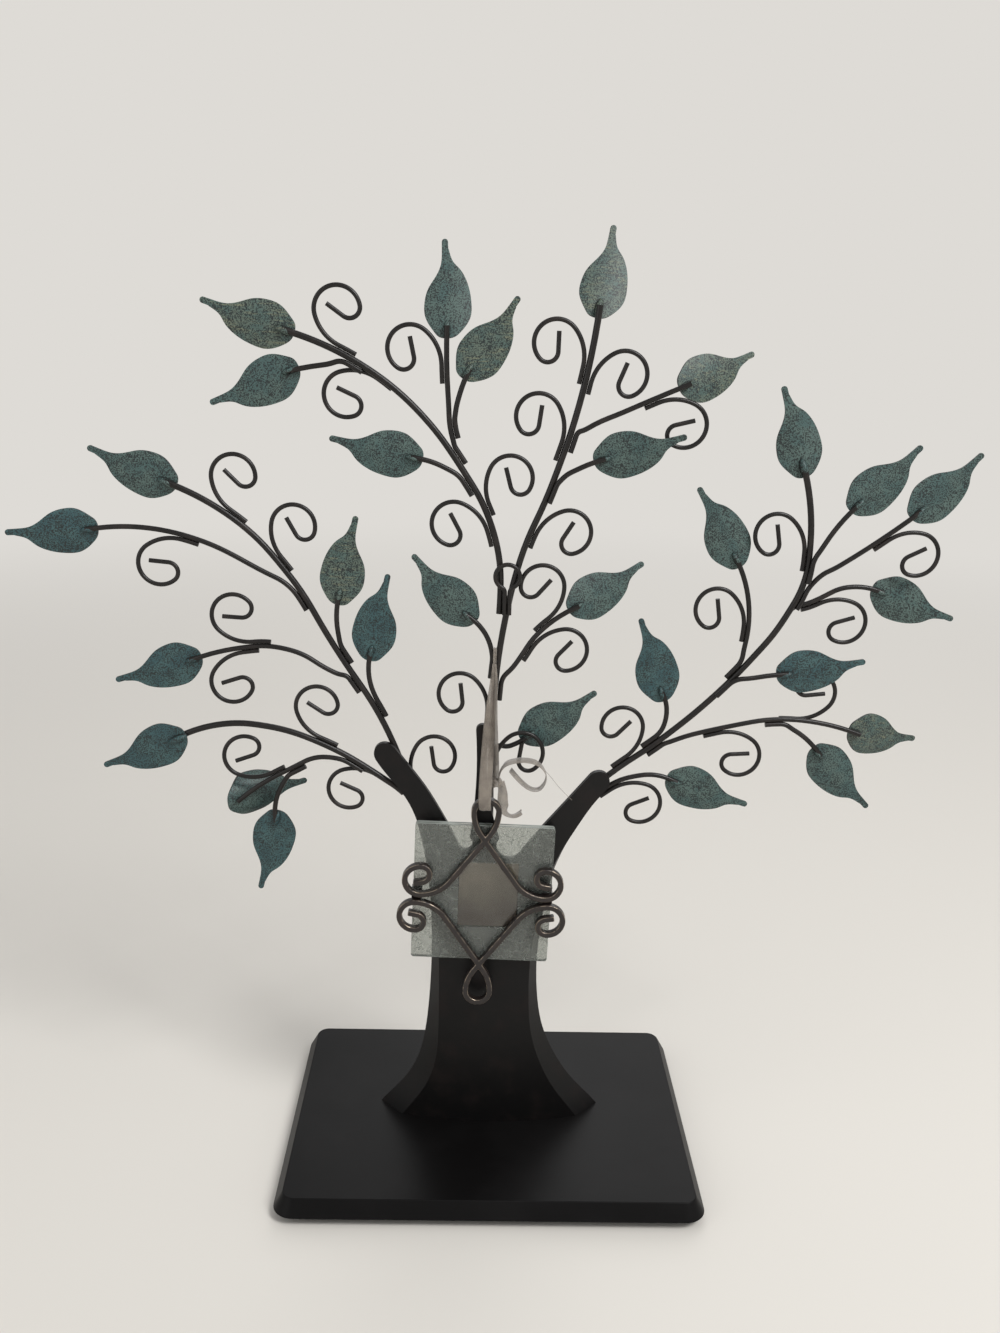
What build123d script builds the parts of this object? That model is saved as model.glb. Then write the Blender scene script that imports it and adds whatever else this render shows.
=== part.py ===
from build123d import *
import math
import os

# Photo tree: a steel trunk on a wooden plinth, bent wire branches with stamped leaves, and one
# glass photo ornament on a ribbon. Millimetres, +Z up, the front looks along -Y.

# Sizes of the plinth
base_width = 199.0
base_depth = 148.0
base_corner_radius = 6.0
base_bevel_out = 4.6
base_bevel_height = 8.0
base_edge_radius = 0.8
riser_inset = 8.0
riser_height = 3.2
felt_thickness = 1.3
felt_inset = 1.5
screw_diameter = 4.0
screw_head_diameter = 8.0
screw_head_height = 2.4
screw_spacing = 32.0
screw_bite = 2.4
screw_slip = 0.25
screw_recess = 4.6
washer_diameter = 11.0
washer_thickness = 1.0
recess_slip = 0.4

# Sizes of the trunk
trunk_front = -13.0
trunk_roll_radius = 185.0
trunk_sheet = 3.0
trunk_foot_depth = 8.0
trunk_rise = 200.0
foot_half_width = 57.0
foot_flange = 8.0
flange_height = 160.0
limb_end_radius = 6.0
middle_limb_radius = 3.1
foot_plate_length = 84.0
foot_plate_width = 15.0
foot_plate_thickness = 3.0
foot_plate_back = 5.0

# Sizes of the branches
crown_reach = 200.0
crown_height = 400.0
stem_diameter = 3.0
twig_diameter = 2.4
scroll_diameter = 2.1
weld_length = 8.0
weld_gap = 0.05
scroll_lead_radius = 20.0
scroll_main_radius = 10.2
scroll_inner_radius = 4.7
scroll_tail = 9.0
scroll_lead_turn = 50.0
scroll_main_turn = 185.0
scroll_inner_turn = 135.0
eye_radius = 5.7
eye_neck_radius = 3.0
eye_leg = 10.5
eye_leg_gap = 0.1
search_step = 0.25

# Sizes of the leaves
leaf_length = 43.4
leaf_width = 21.2
leaf_tail_radius = 1.4
leaf_thickness = 0.9
leaf_roll_radius = 46.0
leaf_lap = 5.5
curled_leaf_radius = 13.0
curled_leaf_lean = 35.0
curled_leaf_heading = 6.0

# Sizes of the ornament
glass_width = 68.0
glass_height = 71.5
glass_thickness = 1.6
glass_corner_radius = 1.5
glass_centre_x = -6.6
glass_centre_height = 145.0
pocket_depth = 0.5
photo_width = 29.0
photo_height = 34.0
photo_thickness = 0.3
photo_slip = 0.3
photo_offset = 2.9
photo_drop = 1.0
clip_wall = 0.6
clip_height = 7.0
clip_reach = 5.0
clip_drop = 1.8
clip_slip = 0.05
hang_clearance = 0.3
strip_thickness = 2.7
strip_depth = 4.0
strip_loop_radius = 6.0
strip_neck_radius = 20.0
strip_shoulder_radius = 18.2
strip_curl_radius = 7.4
strip_inner_radius = 4.1
strip_tail = 4.5
strip_neck_turn = 36.0
strip_curl_turn = 190.0
strip_inner_turn = 160.0
upper_loop_top = 50.2
upper_leg = 31.0
lower_loop_end = 57.5
lower_leg = 34.5
glass_turn = -1.5

# Sizes of the ribbon
ribbon_width = 6.2
ribbon_thickness = 0.3
ribbon_x = -6.7
ribbon_rise = 62.8
ribbon_set_back = 13.15
ribbon_hang_radius = 3.65
ribbon_tuck = 10.0
ribbon_gather = 4.6
ribbon_lean = 2.8
return_lean = -3.0
return_x = -0.8
return_depth = -19.6
knot_x = -1.0
knot_depth = -18.6
knot_rise = 8.3
knot_width = 6.6
knot_height = 6.0
knot_thickness = 4.4
knot_edge_radius = 1.2
tail_x = 2.2
tail_depth = -16.6
tail_width = 5.0
tail_drop = 11.0
tail_hook_radius = 5.5
tail_hook_turn = 115.0
tail_end = 3.0
curl_reach = 22.5
curl_start = 1.3
curl_depth = -19.5
bight_x = -3.2
bight_width = 1.3
bight_thickness = 0.4
bight_radius = 2.2
bight_foot = 258.8
bight_top = 267.2

# One overrun serves all cuts.
overrun = 5.0

# Sizes that follow from the others
stem_radius = stem_diameter / 2
twig_radius = twig_diameter / 2
scroll_radius = scroll_diameter / 2
riser_top = felt_thickness + riser_height
base_top = riser_top + base_bevel_height
outer_width = base_width + 2 * base_bevel_out
outer_depth = base_depth + 2 * base_bevel_out
riser_width = outer_width - 2 * riser_inset
riser_depth = outer_depth - 2 * riser_inset
screw_line = foot_plate_back - foot_plate_width / 2
recess_top = felt_thickness + screw_recess
roll_axis = trunk_front + trunk_roll_radius
inner_roll_radius = trunk_roll_radius - trunk_sheet

# Depths of the ornament, from the trunk's front outwards
clip_back = trunk_front - hang_clearance
back_glass_back = clip_back - clip_wall - clip_slip
pocket_back = back_glass_back - glass_thickness
pocket_front = pocket_back - pocket_depth
front_glass_front = pocket_front - glass_thickness
clip_front = front_glass_front - clip_slip - clip_wall
strip_back = clip_front - clip_slip
strip_front = strip_back - strip_depth
hang_depth = (strip_back + strip_front) / 2
hang_height = glass_centre_height + upper_loop_top


def front_plane(depth, x=0, z=0, turn=0):
    """A plane that faces the front at a depth: its own x runs to the right and its y upwards."""
    along = (math.cos(math.radians(turn)), 0, math.sin(math.radians(turn)))
    return Plane(origin=(x, depth, z), x_dir=along, z_dir=(0, -1, 0))


def side_plane(x):
    """A plane that faces the right: its own x runs to the back and its y upwards."""
    return Plane(origin=(x, 0, 0), x_dir=(0, 1, 0), z_dir=(1, 0, 0))


def way(heading):
    """The unit vector of a heading in degrees."""
    return Vector(math.cos(math.radians(heading)), math.sin(math.radians(heading)))


def left_of(heading):
    """The unit vector to the left of a heading."""
    return way(heading + 90)


class Bender:
    """Follows a strip or wire as it is bent in one plane, in straight runs and tangent arcs."""

    def __init__(self, start, heading):
        self.at = Vector(*start)
        self.heading = heading
        self.runs = []

    def straight(self, length):
        self.runs.append((self.at, self.heading, length, 0))
        self.at = self.at + way(self.heading) * length
        return self

    def turn(self, radius, degrees):
        length = math.radians(abs(degrees)) * radius
        self.runs.append((self.at, self.heading, length, math.copysign(radius, degrees)))
        centre = self.at + left_of(self.heading) * math.copysign(radius, degrees)
        self.heading += degrees
        self.at = centre - left_of(self.heading) * math.copysign(radius, degrees)
        return self

    def reach(self, point):
        """One arc, or a straight run, that leaves along the heading and ends at the point."""
        chord = Vector(*point) - self.at
        toward = math.degrees(math.atan2(chord.Y, chord.X))
        swing = (toward - self.heading + 180) % 360 - 180
        if abs(math.sin(math.radians(swing))) < 1e-3:
            return self.straight(chord.length)
        radius = chord.length / math.sin(math.radians(abs(swing))) / 2
        return self.turn(radius, 2 * swing)

    def join(self, point, heading):
        """Two arcs that leave along the heading and arrive at the point with the new heading."""
        chord = Vector(*point) - self.at
        leaving, arriving = way(self.heading), way(heading)
        both = chord.dot(leaving + arriving)
        spread = 2 * (1 - leaving.dot(arriving))
        if spread < 1e-6:
            reach = chord.dot(chord) / (4 * chord.dot(arriving))
        else:
            reach = (math.sqrt(both**2 + spread * chord.dot(chord)) - both) / spread
        middle = self.at + (chord + (leaving - arriving) * reach) / 2
        self.reach((middle.X, middle.Y))
        return self.reach(point)

    def follow(self, points):
        """Passes smoothly through the points, each with the heading of its two neighbours."""
        for here, after in zip(points, points[1:]):
            before = self.at
            come = here - before
            leave = after - here
            mean = come * (leave.length / come.length) + leave * (come.length / leave.length)
            self.join((here.X, here.Y), math.degrees(math.atan2(mean.Y, mean.X)))
        return self.reach((points[-1].X, points[-1].Y))

    def length(self):
        return sum(run[2] for run in self.runs)

    def place(self, distance):
        """The point and the heading at a distance from the start."""
        for start, heading, length, radius in self.runs:
            if distance <= length or (start, heading, length, radius) == self.runs[-1]:
                break
            distance -= length
        if radius == 0:
            return start + way(heading) * distance, heading
        here = heading + math.degrees(distance / radius)
        return start + left_of(heading) * radius - left_of(here) * radius, here

    def nearest(self, point):
        """The distance along the path to the place nearest to a point."""
        steps = int(self.length() / search_step)
        places = [step * search_step for step in range(steps + 1)]
        return min(places, key=lambda place: (self.place(place)[0] - point).length)

    def edges(self):
        found = []
        for start, heading, length, radius in self.runs:
            part = Bender(tuple(start)[:2], heading)
            part.runs = [(start, heading, length, radius)]
            end, _ = part.place(length)
            if radius == 0:
                found.append(Line(start, end))
            else:
                found.append(ThreePointArc(start, part.place(length / 2)[0], end))
        return found

    def trace(self, width):
        """The flat outline of a strip of this width that follows the path."""
        return trace(Wire(self.edges()), line_width=width)


class Branch:
    """A round wire: its bent path in the front plane, its radius and its depth."""

    def __init__(self, path, radius, depth):
        self.path = path
        self.radius = radius
        self.depth = depth

    def solid(self):
        path = front_plane(self.depth).location * Wire(self.path.edges())
        start = Plane(origin=path @ 0, z_dir=path % 0)
        return sweep(start * Circle(self.radius), path=path)


def crown_point(shares):
    """A point of the wire plan: a share of the reach from the middle, and of the height."""
    return Vector(shares[0] * crown_reach, base_top + shares[1] * crown_height)


def sheet_front(x):
    """The depth of the rolled sheet's front face at x from the middle."""
    return roll_axis - math.sqrt(trunk_roll_radius**2 - x**2)


def stem(heading, root_shares, point_shares, widest_share, radius=stem_radius):
    """A wire that rises from behind the trunk, clear of the sheet out to the widest share."""
    behind = sheet_front(widest_share * crown_reach) + trunk_sheet
    path = Bender(tuple(crown_point(root_shares))[:2], heading)
    path.follow([crown_point(shares) for shares in point_shares])
    return Branch(path, radius, behind + radius + weld_gap)


def welded(parent, cut_shares, side, tilt, radius, weld_share=1.0):
    """Starts a wire that lies against its parent, from its cut end for the length of the weld."""
    apart = parent.radius + radius + weld_gap
    across = side * apart * math.cos(math.radians(tilt))
    first = parent.path.nearest(crown_point(cut_shares))
    last = min(first + weld_share * weld_length, parent.path.length())
    start, heading = parent.path.place(first)
    path = Bender(tuple(start + left_of(heading) * across)[:2], heading)
    for distance in ((first + last) / 2, last):
        place, heading = parent.path.place(distance)
        beside = place + left_of(heading) * across
        path.join((beside.X, beside.Y), heading)
    return path, parent.depth + apart * math.sin(math.radians(tilt))


def twig(parent, cut_shares, side, point_shares, tilt=0, radius=twig_radius):
    """A twig that leaves its weld and passes through the points."""
    path, depth = welded(parent, cut_shares, side, tilt, radius)
    path.follow([crown_point(shares) for shares in point_shares])
    return Branch(path, radius, depth)


def scroll(parent, cut_shares, side, tilt, weld_share):
    """A scroll of the one bending jig: it leaves its weld and winds to the given side."""
    path, depth = welded(parent, cut_shares, side, tilt, scroll_radius, weld_share)
    path.turn(scroll_lead_radius, side * scroll_lead_turn)
    path.turn(scroll_main_radius, side * scroll_main_turn)
    path.turn(scroll_inner_radius, side * scroll_inner_turn)
    path.straight(scroll_tail)
    return Branch(path, scroll_radius, depth)


eye_foot_shares = (0.009, 0.679)

# The wire plan. The first entry of a stem is its heading in degrees, then come its root, the
# points that it passes and the widest share that it is level with. A twig has its parent, its cut
# end, its side (1 is left of the way that the parent grows), its points and its tilt.
left = 1
right = -1
stem_plan = {
    "left_high": (
        106,
        (-0.193, 0.415),
        ((-0.280, 0.534), (-0.400, 0.631), (-0.500, 0.713), (-0.600, 0.769), (-0.700, 0.803),
            (-0.787, 0.822)),
        0.262,
    ),
    "left_low": (
        136,
        (-0.232, 0.446),
        ((-0.300, 0.471), (-0.400, 0.501), (-0.550, 0.528), (-0.650, 0.532), (-0.784, 0.512)),
        0.245,
    ),
    "centre_high": (
        90.5,
        (-0.017, 0.424),
        ((-0.017, 0.564), (0.001, 0.656), (0.038, 0.744), (0.107, 0.834), (0.151, 0.904), (0.197, 1.030)),
        0.060,
    ),
    "centre_left": (
        87,
        (-0.008, 0.679),
        ((-0.016, 0.756), (-0.050, 0.805), (-0.100, 0.846), (-0.175, 0.896), (-0.250, 0.932),
            (-0.350, 0.965), (-0.505, 0.995)),
        0.060,
    ),
    "right_high": (
        45,
        (0.200, 0.439),
        (
            (0.280, 0.475),
            (0.400, 0.521),
            (0.500, 0.566),
            (0.595, 0.618),
            (0.670, 0.669),
            (0.718, 0.724),
            (0.723, 0.769),
            (0.691, 0.857),
        ),
        0.285,
    ),
}
low_right_plan = (40, (0.230, 0.441), ((0.325, 0.470), (0.400, 0.473), (0.445, 0.464)), 0.285)
twig_plan = {
    "left_2": ("left_high", (-0.465, 0.674), left, ((-0.600, 0.729), (-0.700, 0.753),
        (-0.800, 0.766), (-0.875, 0.769), (-0.975, 0.764)), 0),
    "left_3": ("left_high", (-0.348, 0.571), left, ((-0.400, 0.598), (-0.500, 0.624),
        (-0.560, 0.629), (-0.625, 0.626), (-0.745, 0.609)), 0),
    "left_7": ("left_high", (-0.363, 0.609), right, ((-0.391, 0.649), (-0.387, 0.694)), 0),
    "left_8": ("left_high", (-0.278, 0.544), right, ((-0.318, 0.599), (-0.312, 0.626)), 0),
    "left_5": ("left_low", (-0.330, 0.476), left, ((-0.425, 0.491), (-0.525, 0.471), (-0.640, 0.431)), 0),
    "left_6": ("left_5", (-0.473, 0.479), left, ((-0.530, 0.454), (-0.548, 0.405)), 0),
    "centre_2": ("centre_left", (-0.333, 0.947), left, ((-0.415, 0.958), (-0.495, 0.950)), 0),
    "centre_3": ("centre_left", (-0.091, 0.854), right, ((-0.124, 0.881), (-0.136, 0.931),
        (-0.140, 1.004)), 0),
    "centre_4": ("centre_3", (-0.112, 0.881), right, ((-0.118, 0.911), (-0.109, 0.931), (-0.088, 0.958)), 0),
    "centre_5": ("centre_left", (-0.080, 0.816), left, ((-0.150, 0.850), (-0.218, 0.858)), 0),
    "centre_7": ("centre_high", (0.148, 0.867), right, ((0.182, 0.896), (0.275, 0.918), (0.410, 0.948)), 0),
    "centre_8": ("centre_high", (0.095, 0.811), right, ((0.130, 0.840), (0.170, 0.852), (0.224, 0.862)), -45),
    "centre_9": ("centre_high", (-0.019, 0.600), left, ((-0.025, 0.636), (-0.085, 0.676)), 0),
    "centre_10": ("centre_high", (0.003, 0.573), right, ((0.035, 0.619), (0.085, 0.656), (0.180, 0.690)), 0),
    "centre_11": ("centre_high", (-0.005, 0.491), right, ((0.030, 0.516), (0.075, 0.530)), 0),
    "right_2": ("right_high", (0.548, 0.600), left, ((0.588, 0.644), (0.592, 0.672), (0.549, 0.748)), 0),
    "right_3": ("right_high", (0.725, 0.719), right, ((0.756, 0.769), (0.828, 0.816)), -60),
    "right_4": ("right_high", (0.708, 0.686), right, ((0.750, 0.726), (0.800, 0.742), (0.978, 0.808)), 0),
    "right_5": ("right_high", (0.680, 0.659), right, ((0.750, 0.697), (0.825, 0.714), (0.913, 0.708)), 75),
    "right_6": ("right_high", (0.540, 0.571), right, ((0.625, 0.604), (0.695, 0.608)), -90),
    "right_7": ("right_high", (0.353, 0.510), left, ((0.408, 0.559), (0.393, 0.581)), 0),
    "right_9": ("right_high", (0.370, 0.498), right, ((0.430, 0.519), (0.550, 0.537),
        (0.690, 0.549), (0.800, 0.544), (0.890, 0.531)), 0),
    "right_10": ("right_9", (0.652, 0.541), right, ((0.730, 0.534), (0.797, 0.502)), 0),
}
scroll_plan = {
    "left": (
        ("left_high", (-0.595, 0.781), right, 0, 1.1),
        ("left_high", (-0.493, 0.723), right, 0, 1.0),
        ("left_2", (-0.713, 0.751), left, 0, 1.0),
        ("left_3", (-0.550, 0.636), right, 0, 1.0),
        ("left_3", (-0.580, 0.624), left, 0, 1.0),
        ("left_high", (-0.205, 0.445), right, 0, 1.0),
        ("left_low", (-0.388, 0.511), right, 0, 1.15),
        ("left_5", (-0.525, 0.479), right, 0, 0.8),
        ("left_low", (-0.268, 0.453), left, 60, 1.0),
    ),
    "centre_left": (
        ("centre_left", (-0.341, 0.970), right, 0, 1.0),
        ("centre_left", (-0.268, 0.929), left, 60, 1.0),
        ("centre_3", (-0.150, 0.941), left, 0, 1.0),
        ("centre_left", (-0.033, 0.758), left, 0, 1.0),
        ("centre_left", (-0.031, 0.794), right, 0, 0.6),
    ),
    "centre_right": (
        ("centre_high", (0.150, 0.945), left, 0, 1.0),
        ("centre_high", (0.162, 0.935), right, 0, 0.6),
        ("centre_high", (0.117, 0.858), left, 0, 1.1),
        ("centre_7", (0.310, 0.918), right, 0, 0.8),
        ("centre_high", (0.055, 0.758), right, 0, 0.8),
    ),
    "centre_low": (
        ("centre_10", (0.080, 0.658), left, 0, 1.0),
        ("centre_10", (0.050, 0.623), right, 0, 1.0),
        ("centre_high", (-0.033, 0.539), left, 0, 1.0),
        ("centre_high", (-0.005, 0.469), right, -60, 1.0),
    ),
    "right_upper": (
        ("right_high", (0.708, 0.734), left, 0, 1.2),
        ("right_2", (0.583, 0.646), left, 0, 1.0),
        ("right_5", (0.723, 0.676), right, 0, 1.1),
        ("right_4", (0.875, 0.761), right, 0, 1.0),
    ),
    "right_lower": (
        ("right_9", (0.688, 0.553), left, 90, 1.0),
        ("right_high", (0.285, 0.481), left, 0, 1.0),
        ("right_9", (0.500, 0.529), right, 0, 1.0),
        ("right_8", (0.253, 0.446), right, 0, 1.0),
    ),
}

# Leaves: the heading of each in degrees, its fuller side, how far its tip leans to the front in
# degrees, and whether it lies before its wire
leaf_plan = {
    "left_high": (157, 1, 0, False),
    "left_2": (183.5, 1, 0, False),
    "left_3": (196.6, 1, 0, False),
    "left_low": (201.8, 1, 0, True),
    "left_6": (256.6, 1, 0, False),
    "left_7": (78, 1, 0, False),
    "left_8": (77.9, 1, 0, False),
    "centre_left": (161.4, 1, 0, False),
    "centre_2": (203, 1, 0, False),
    "centre_3": (92.8, -1, -12, False),
    "centre_4": (56, -1, 0, False),
    "centre_5": (168, 1, 0, False),
    "centre_high": (80, -1, -20, False),
    "centre_7": (23.5, -1, -24, False),
    "centre_8": (18, -1, 12, False),
    "centre_9": (132.6, 1, 0, False),
    "centre_10": (31.4, -1, -16, False),
    "centre_11": (34.8, -1, 0, False),
    "right_high": (108.5, -1, 0, False),
    "right_2": (121, -1, 0, False),
    "right_3": (45.5, -1, 0, False),
    "right_4": (45.9, -1, 0, False),
    "right_5": (-19.3, -1, 0, False),
    "right_6": (10.4, -1, 0, False),
    "right_7": (108.5, -1, 0, False),
    "right_8": (-17.6, -1, 0, False),
    "right_9": (-11.9, -1, -22, False),
    "right_10": (-45.5, -1, 0, False),
}


def grow_branches():
    """Bends every stem and twig of the wire plan."""
    branches = {name: stem(*entry) for name, entry in stem_plan.items()}
    branches["right_8"] = stem(*low_right_plan, radius=twig_radius)
    for name, (parent, cut, side, points, tilt) in twig_plan.items():
        branches[name] = twig(branches[parent], cut, side, points, tilt)
    return branches


def grow_scrolls(branches):
    """Bends every scroll, in the groups that the pieces are written in."""
    return {
        group: [scroll(branches[entry[0]], *entry[1:]) for entry in entries]
        for group, entries in scroll_plan.items()
    }


def hanging_eye(branches):
    """The loop at the middle of the crown that the tree can be lifted by."""
    high = branches["centre_high"]
    depth = high.depth - high.radius - scroll_radius - weld_gap
    half_gap = scroll_radius + eye_leg_gap
    spread = math.degrees(math.acos((half_gap + eye_neck_radius) / (eye_radius + eye_neck_radius)))
    foot = crown_point(eye_foot_shares)
    path = Bender((foot.X - half_gap, foot.Y), 90)
    path.straight(eye_leg)
    path.turn(eye_neck_radius, spread)
    path.turn(eye_radius, -180 - 2 * spread)
    path.turn(eye_neck_radius, spread)
    path.straight(eye_leg)
    return Branch(path, scroll_radius, depth)


# The outline of one leaf: shares of its length and of its width, one side after the other
full_side_shares = (
    (0.07, 0.29), (0.23, 0.50), (0.35, 0.52), (0.58, 0.43), (0.70, 0.29), (0.80, 0.13),
    (0.90, 0.07),
)
slim_side_shares = (
    (0.07, -0.28), (0.23, -0.46), (0.35, -0.47), (0.50, -0.385), (0.62, -0.22), (0.74, -0.10),
    (0.88, -0.07),
)


def leaf_blank():
    """The flat blank of a leaf: its base is at the origin and its tail runs along x."""
    full = [Vector(a * leaf_length, b * leaf_width) for a, b in full_side_shares]
    slim = [Vector(a * leaf_length, b * leaf_width) for a, b in slim_side_shares]
    tail_x = leaf_length - leaf_tail_radius
    full_end = Vector(tail_x, leaf_tail_radius)
    slim_end = Vector(tail_x, -leaf_tail_radius)
    edge = Spline(Vector(0, 0), *full, full_end, tangents=(way(90), way(0)))
    tip = ThreePointArc(full_end, Vector(leaf_length, 0), slim_end)
    back = Spline(slim_end, *reversed(slim), Vector(0, 0), tangents=(way(180), way(90)))
    return make_face([edge, tip, back])


def rolled_leaf(roll_radius):
    """A leaf rolled about its own length, with its front at the origin's level."""
    sag = roll_radius - math.sqrt(roll_radius**2 - (leaf_width / 2) ** 2)
    drop = sag + 2 * leaf_thickness
    prism = extrude(Pos(0, 0, -drop) * leaf_blank(), amount=drop + leaf_thickness)
    outer = Cylinder(roll_radius, 3 * leaf_length)
    sheet = outer - Cylinder(roll_radius - leaf_thickness, 3 * leaf_length)
    return prism & (Pos(0, 0, -roll_radius) * Rot(0, 90, 0) * sheet)


def place_leaf(branch, heading, full_side, lean, before, blank):
    """Lays a leaf against the end of its wire, behind it or before it."""
    end, _ = branch.path.place(branch.path.length())
    out = branch.radius + weld_gap
    depth = branch.depth - out - leaf_thickness if before else branch.depth + out
    shape = mirror(blank, about=Plane.XZ) if full_side < 0 else blank
    hinge = leaf_lap if lean > 0 else 0
    shape = Pos(hinge - leaf_lap, 0, 0) * Rot(0, -lean, 0) * Pos(-hinge, 0, 0) * shape
    return front_plane(depth, end.X, end.Y, heading).location * shape


def curled_leaf(branch):
    """The one leaf that is bent into a cup: it is turned over and doubles back behind its wire."""
    end, _ = branch.path.place(branch.path.length())
    depth = branch.depth + branch.radius + weld_gap
    shape = Rot(0, curled_leaf_lean, 0) * Pos(-leaf_lap, 0, 0) * rolled_leaf(curled_leaf_radius)
    return front_plane(depth, end.X, end.Y, curled_leaf_heading).location * shape


# The trunk's sides: share of the rise, then the left and the right edge as shares of the foot's
# half width, then the share of the flange that is swept back there
side_shares = (
    (0.000, -1.000, 1.000, 1.00),
    (0.050, -0.875, 0.870, 1.00),
    (0.100, -0.755, 0.735, 0.95),
    (0.170, -0.650, 0.590, 0.85),
    (0.260, -0.590, 0.460, 0.68),
    (0.360, -0.562, 0.400, 0.52),
    (0.470, -0.550, 0.388, 0.42),
    (0.580, -0.556, 0.418, 0.33),
    (0.690, -0.590, 0.490, 0.22),
    (0.790, -0.655, 0.630, 0.10),
)
left_outer_shares = ((-0.780, 0.885), (-0.980, 0.952))
left_inner_shares = ((-0.755, 0.970), (-0.614, 0.920), (-0.491, 0.865), (-0.400, 0.820))
left_fork_shares = ((-0.335, 0.785), (-0.285, 0.768), (-0.232, 0.800))
right_fork_shares = ((0.020, 0.800), (0.115, 0.748), (0.220, 0.770))
right_inner_shares = ((0.350, 0.815), (0.525, 0.872), (0.667, 0.918))
right_outer_shares = ((0.740, 0.845), (0.860, 0.892))
waist_shares = ((-0.195, 0.900), (-0.070, 0.900))
left_end_shares = (-0.965, 0.995)
right_end_shares = (0.860, 0.935)
middle_end_shares = (-0.144, 1.075)
left_end_heading = 122
right_end_heading = 42


def trunk_point(shares):
    """A point of the trunk's front view."""
    return Vector(shares[0] * foot_half_width, base_top + shares[1] * trunk_rise)


def side_points(column, depth, inset):
    """One side of the trunk's skirt where it meets the front plane at a depth."""
    points = []
    for entry in side_shares:
        edge = trunk_point((entry[column], entry[0]))
        rise = min(entry[0] * trunk_rise / flange_height, 1)
        lip = trunk_foot_depth + (trunk_sheet - trunk_foot_depth) * rise
        slope = entry[3] * foot_flange / lip
        drawn = slope * (sheet_front(edge.X) + lip - depth) + inset
        points.append(edge - Vector(math.copysign(1, edge.X) * drawn, 0))
    return points


def round_end(centre_shares, heading, radius):
    """A limb's round end: the point right of its heading, the tip, and the point left of it."""
    centre = trunk_point(centre_shares)
    across = left_of(heading) * radius
    return centre - across, centre + way(heading) * radius, centre + across


def trunk_outline(depth):
    """The trunk with its three limbs, as one closed outline in the front plane."""
    left_side = side_points(1, depth, 0)
    right_side = side_points(2, depth, 0)
    left_end = round_end(left_end_shares, left_end_heading, limb_end_radius)
    right_end = round_end(right_end_shares, right_end_heading, limb_end_radius)
    middle_end = round_end(middle_end_shares, 90, middle_limb_radius)
    left_fork = [trunk_point(s) for s in left_fork_shares]
    right_fork = [trunk_point(s) for s in right_fork_shares]
    left_outer = [trunk_point(s) for s in left_outer_shares]
    right_outer = [trunk_point(s) for s in right_outer_shares]
    left_inner = [trunk_point(s) for s in left_inner_shares]
    right_inner = [trunk_point(s) for s in right_inner_shares]
    waist = [trunk_point(s) for s in waist_shares]
    return [
        Line(left_side[0], right_side[0]),
        Spline(*right_side, *right_outer, right_end[0]),
        ThreePointArc(*right_end),
        Spline(right_end[2], *reversed(right_inner), right_fork[2]),
        ThreePointArc(right_fork[2], right_fork[1], right_fork[0]),
        Spline(right_fork[0], waist[1], middle_end[0]),
        ThreePointArc(*middle_end),
        Spline(middle_end[2], waist[0], left_fork[2]),
        ThreePointArc(left_fork[2], left_fork[1], left_fork[0]),
        Spline(left_fork[0], *reversed(left_inner), left_end[0]),
        ThreePointArc(*left_end),
        Spline(left_end[2], *reversed(left_outer), *reversed(left_side)),
    ]


def hollow_outline(depth):
    """The hollow behind the trunk's lower sheet, as one closed outline in the front plane."""
    left_side = side_points(1, depth, trunk_sheet)
    right_side = side_points(2, depth, trunk_sheet)
    return [
        Line(left_side[0], right_side[0]),
        Spline(*right_side),
        Line(right_side[-1], left_side[-1]),
        Spline(*reversed(left_side)),
    ]


def between_planes(outline):
    """A body whose outline changes evenly from the front of the trunk to well behind it."""
    near = trunk_front - overrun
    far = trunk_front + 2 * trunk_foot_depth + overrun
    near_face = front_plane(near).location * make_face(outline(near))
    far_face = front_plane(far).location * make_face(outline(far))
    return loft([far_face, near_face], ruled=True)


def roll_solid(radius):
    """The solid cylinder that the rolled sheet follows, out to a radius."""
    return Pos(0, roll_axis, trunk_rise) * Cylinder(radius, 4 * trunk_rise)


def trunk_panel():
    """The trunk: one rolled sheet with its side edges swept back, deepest at the foot."""
    body = between_planes(trunk_outline) & roll_solid(trunk_roll_radius)
    body -= between_planes(hollow_outline) & roll_solid(inner_roll_radius)
    cone = Cone(trunk_roll_radius - trunk_foot_depth, inner_roll_radius, flange_height)
    body -= Pos(0, roll_axis, base_top + flange_height / 2) * cone
    upper = Cylinder(inner_roll_radius, 2 * trunk_rise)
    body -= Pos(0, roll_axis, base_top + flange_height + trunk_rise) * upper
    return body


def trunk_foot_plate():
    """The plate behind the foot that the plinth's screws pull down."""
    block = Box(foot_plate_length, 2 * foot_plate_width, foot_plate_thickness)
    block = Pos(0, foot_plate_back - foot_plate_width, base_top + foot_plate_thickness / 2) * block
    plate = block & roll_solid(inner_roll_radius - weld_gap)
    for x in screw_places():
        hole = Cylinder(screw_diameter / 2 + screw_slip, 4 * foot_plate_thickness)
        plate -= Pos(x, screw_line, base_top) * hole
    return plate


def screw_places():
    return (-screw_spacing, 0, screw_spacing)


def upright(radius, bottom, top):
    """A round pin, hole or disc that stands between two heights."""
    return Pos(0, 0, (bottom + top) / 2) * Cylinder(radius, top - bottom)


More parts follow.
